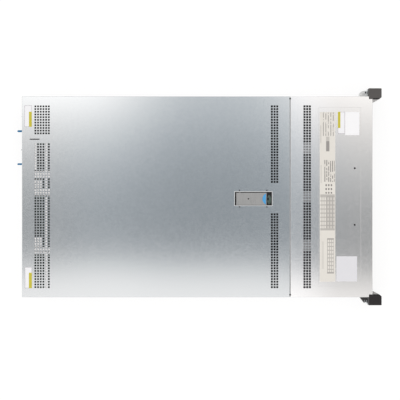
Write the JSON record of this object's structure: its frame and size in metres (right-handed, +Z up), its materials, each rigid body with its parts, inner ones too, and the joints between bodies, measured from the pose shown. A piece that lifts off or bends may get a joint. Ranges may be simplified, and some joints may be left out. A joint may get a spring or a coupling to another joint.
{
  "type": "rack server",
  "caption": "Two-unit rack server in a galvanised chassis with a latched sliding top cover, vent fields, rack ears, hot-swap drives, fans and power supplies.",
  "frame": {"origin": "underside of the chassis, midway between its front and rear edges and its sides", "axes": "+X to the front with the drive bays, +Y to the server's own left, +Z up"},
  "size_m": [0.82, 0.4826, 0.0861],
  "materials": {
    "zinc_steel": "galvanised sheet, fine grain",
    "bright_steel": "plated steel",
    "dark_moulding": "moulded, fine grain",
    "black_steel": "black oxide",
    "black_plastic": "moulded",
    "blue_plastic": "moulded touch point",
    "grey_plastic": "moulded",
    "green_board": "solder mask",
    "fin_aluminium": "plain fins"
  },
  "bodies": {
    "chassis": {"chassis_tray": "zinc_steel", "rear_wall": "zinc_steel", "front_cover": "zinc_steel", "chassis_screws": "black_steel", "drive_cage": "zinc_steel", "drive_backplane": "green_board", "drive_fillers": "black_plastic", "fan_cage": "zinc_steel", "fan_frames": "black_plastic", "cross_brace": "zinc_steel", "motherboard": "green_board", "processor_sockets": "black_plastic", "heatsinks": "fin_aluminium", "memory_sockets": "black_plastic", "memory_modules": "green_board", "air_duct": "black_plastic", "riser_cages": "zinc_steel", "riser_boards": "green_board", "slot_covers": "zinc_steel", "psu_bay": "zinc_steel", "power_board": "green_board", "network_jacks": "bright_steel", "rear_ports": "bright_steel", "ear_left": "dark_moulding", "ear_right": "dark_moulding", "ear_brackets": "zinc_steel"},
    "cover": {"top_cover": "zinc_steel", "latch_pan": "dark_moulding", "latch_pin": "bright_steel"},
    "cover_latch": {"latch_lever": "bright_steel", "latch_grip": "blue_plastic"},
    "cover_lock": {"latch_lock": "bright_steel"},
    "left_ear_latch": {"ear_latch_left": "bright_steel"},
    "right_ear_latch": {"ear_latch_right": "dark_moulding"},
    "power_key": {"power_button": "grey_plastic"},
    "locator_key": {"locator_button": "grey_plastic"},
    "fan_1": {"fan_impeller_1": "black_plastic"},
    "fan_2": {"fan_impeller_2": "black_plastic"},
    "fan_3": {"fan_impeller_3": "black_plastic"},
    "fan_4": {"fan_impeller_4": "black_plastic"},
    "psu_1": {"psu_1_case": "zinc_steel", "psu_1_inlet": "black_plastic"},
    "psu_1_release": {"psu_1_tab": "blue_plastic"},
    "psu_1_fan": {"psu_1_impeller": "black_plastic"},
    "psu_2": {"psu_2_case": "zinc_steel", "psu_2_inlet": "black_plastic"},
    "psu_2_release": {"psu_2_tab": "blue_plastic"},
    "psu_2_fan": {"psu_2_impeller": "black_plastic"},
    "drive_1": {"drive_carrier_1": "black_plastic"},
    "drive_1_lever": {"carrier_lever_1": "black_plastic"},
    "drive_1_button": {"carrier_button_1": "grey_plastic"},
    "drive_2": {"drive_carrier_2": "black_plastic"},
    "drive_2_lever": {"carrier_lever_2": "black_plastic"},
    "drive_2_button": {"carrier_button_2": "grey_plastic"},
    "drive_3": {"drive_carrier_3": "black_plastic"},
    "drive_3_lever": {"carrier_lever_3": "black_plastic"},
    "drive_3_button": {"carrier_button_3": "grey_plastic"},
    "drive_4": {"drive_carrier_4": "black_plastic"},
    "drive_4_lever": {"carrier_lever_4": "black_plastic"},
    "drive_4_button": {"carrier_button_4": "grey_plastic"}
  },
  "joints": [
    {"name": "cover_slide", "type": "slide", "parent": "chassis", "child": "cover", "axis": [-1, 0, 0], "range_m": [0, 0.014]},
    {"name": "cover_latch_lift", "type": "hinge", "parent": "cover", "child": "cover_latch", "pos_m": [0.0951, -0.0045, 0.0801], "axis": [0, -1, 0], "range_deg": [0, 60.6]},
    {"name": "cover_lock_turn", "type": "hinge", "parent": "cover_latch", "child": "cover_lock", "pos_m": [0.1137, -0.0045, 0.084], "axis": [0, 0, 1], "range_deg": [0, 90]},
    {"name": "left_ear_latch_turn", "type": "hinge", "parent": "chassis", "child": "left_ear_latch", "pos_m": [0.393, 0.23, 0.04305], "axis": [0, 0, -1], "range_deg": [0, 10], "stiffness_Nm_per_rad": 0.3},
    {"name": "right_ear_latch_turn", "type": "hinge", "parent": "chassis", "child": "right_ear_latch", "pos_m": [0.393, -0.23, 0.04305], "axis": [0, 0, 1], "range_deg": [0, 10], "stiffness_Nm_per_rad": 0.3},
    {"name": "power_button_press", "type": "slide", "parent": "chassis", "child": "power_key", "axis": [-1, 0, 0], "range_m": [0, 0.0012], "stiffness_N_per_m": 400},
    {"name": "locator_button_press", "type": "slide", "parent": "chassis", "child": "locator_key", "axis": [-1, 0, 0], "range_m": [0, 0.0012], "stiffness_N_per_m": 400},
    {"name": "fan_1_spin", "type": "hinge", "parent": "chassis", "child": "fan_1", "pos_m": [0.185, -0.162, 0.0422], "axis": [1, 0, 0], "continuous": true},
    {"name": "fan_2_spin", "type": "hinge", "parent": "chassis", "child": "fan_2", "pos_m": [0.185, -0.054, 0.0422], "axis": [1, 0, 0], "continuous": true},
    {"name": "fan_3_spin", "type": "hinge", "parent": "chassis", "child": "fan_3", "pos_m": [0.185, 0.054, 0.0422], "axis": [1, 0, 0], "continuous": true},
    {"name": "fan_4_spin", "type": "hinge", "parent": "chassis", "child": "fan_4", "pos_m": [0.185, 0.162, 0.0422], "axis": [1, 0, 0], "continuous": true},
    {"name": "psu_1_slide", "type": "slide", "parent": "chassis", "child": "psu_1", "axis": [-1, 0, 0], "range_m": [0, 0.19]},
    {"name": "psu_1_release_press", "type": "hinge", "parent": "psu_1", "child": "psu_1_release", "pos_m": [-0.377, 0.1491, 0.0216], "axis": [0, 0, -1], "range_deg": [0, 5], "stiffness_Nm_per_rad": 0.4},
    {"name": "psu_1_fan_spin", "type": "hinge", "parent": "psu_1", "child": "psu_1_fan", "pos_m": [-0.385, 0.2021, 0.0216], "axis": [1, 0, 0], "continuous": true},
    {"name": "psu_2_slide", "type": "slide", "parent": "chassis", "child": "psu_2", "axis": [-1, 0, 0], "range_m": [0, 0.19]},
    {"name": "psu_2_release_press", "type": "hinge", "parent": "psu_2", "child": "psu_2_release", "pos_m": [-0.377, 0.0738, 0.0216], "axis": [0, 0, -1], "range_deg": [0, 5], "stiffness_Nm_per_rad": 0.4},
    {"name": "psu_2_fan_spin", "type": "hinge", "parent": "psu_2", "child": "psu_2_fan", "pos_m": [-0.385, 0.1268, 0.0216], "axis": [1, 0, 0], "continuous": true},
    {"name": "drive_1_slide", "type": "slide", "parent": "chassis", "child": "drive_1", "axis": [1, 0, 0], "range_m": [0, 0.165]},
    {"name": "drive_1_lever_swing", "type": "hinge", "parent": "drive_1", "child": "drive_1_lever", "pos_m": [0.3861, -0.1159, 0.07], "axis": [0, 0, 1], "range_deg": [0, 55]},
    {"name": "drive_1_button_press", "type": "slide", "parent": "drive_1", "child": "drive_1_button", "axis": [-1, 0, 0], "range_m": [0, 0.002], "stiffness_N_per_m": 300},
    {"name": "drive_2_slide", "type": "slide", "parent": "chassis", "child": "drive_2", "axis": [1, 0, 0], "range_m": [0, 0.165]},
    {"name": "drive_2_lever_swing", "type": "hinge", "parent": "drive_2", "child": "drive_2_lever", "pos_m": [0.3861, -0.0079, 0.07], "axis": [0, 0, 1], "range_deg": [0, 55]},
    {"name": "drive_2_button_press", "type": "slide", "parent": "drive_2", "child": "drive_2_button", "axis": [-1, 0, 0], "range_m": [0, 0.002], "stiffness_N_per_m": 300},
    {"name": "drive_3_slide", "type": "slide", "parent": "chassis", "child": "drive_3", "axis": [1, 0, 0], "range_m": [0, 0.165]},
    {"name": "drive_3_lever_swing", "type": "hinge", "parent": "drive_3", "child": "drive_3_lever", "pos_m": [0.3861, 0.1001, 0.07], "axis": [0, 0, 1], "range_deg": [0, 55]},
    {"name": "drive_3_button_press", "type": "slide", "parent": "drive_3", "child": "drive_3_button", "axis": [-1, 0, 0], "range_m": [0, 0.002], "stiffness_N_per_m": 300},
    {"name": "drive_4_slide", "type": "slide", "parent": "chassis", "child": "drive_4", "axis": [1, 0, 0], "range_m": [0, 0.165]},
    {"name": "drive_4_lever_swing", "type": "hinge", "parent": "drive_4", "child": "drive_4_lever", "pos_m": [0.3861, 0.2081, 0.07], "axis": [0, 0, 1], "range_deg": [0, 55]},
    {"name": "drive_4_button_press", "type": "slide", "parent": "drive_4", "child": "drive_4_button", "axis": [-1, 0, 0], "range_m": [0, 0.002], "stiffness_N_per_m": 300}
  ],
  "couplings": [
    {"joint": "cover_latch_lift", "follows": "cover_slide", "rad_per_m": 75.43}
  ]
}
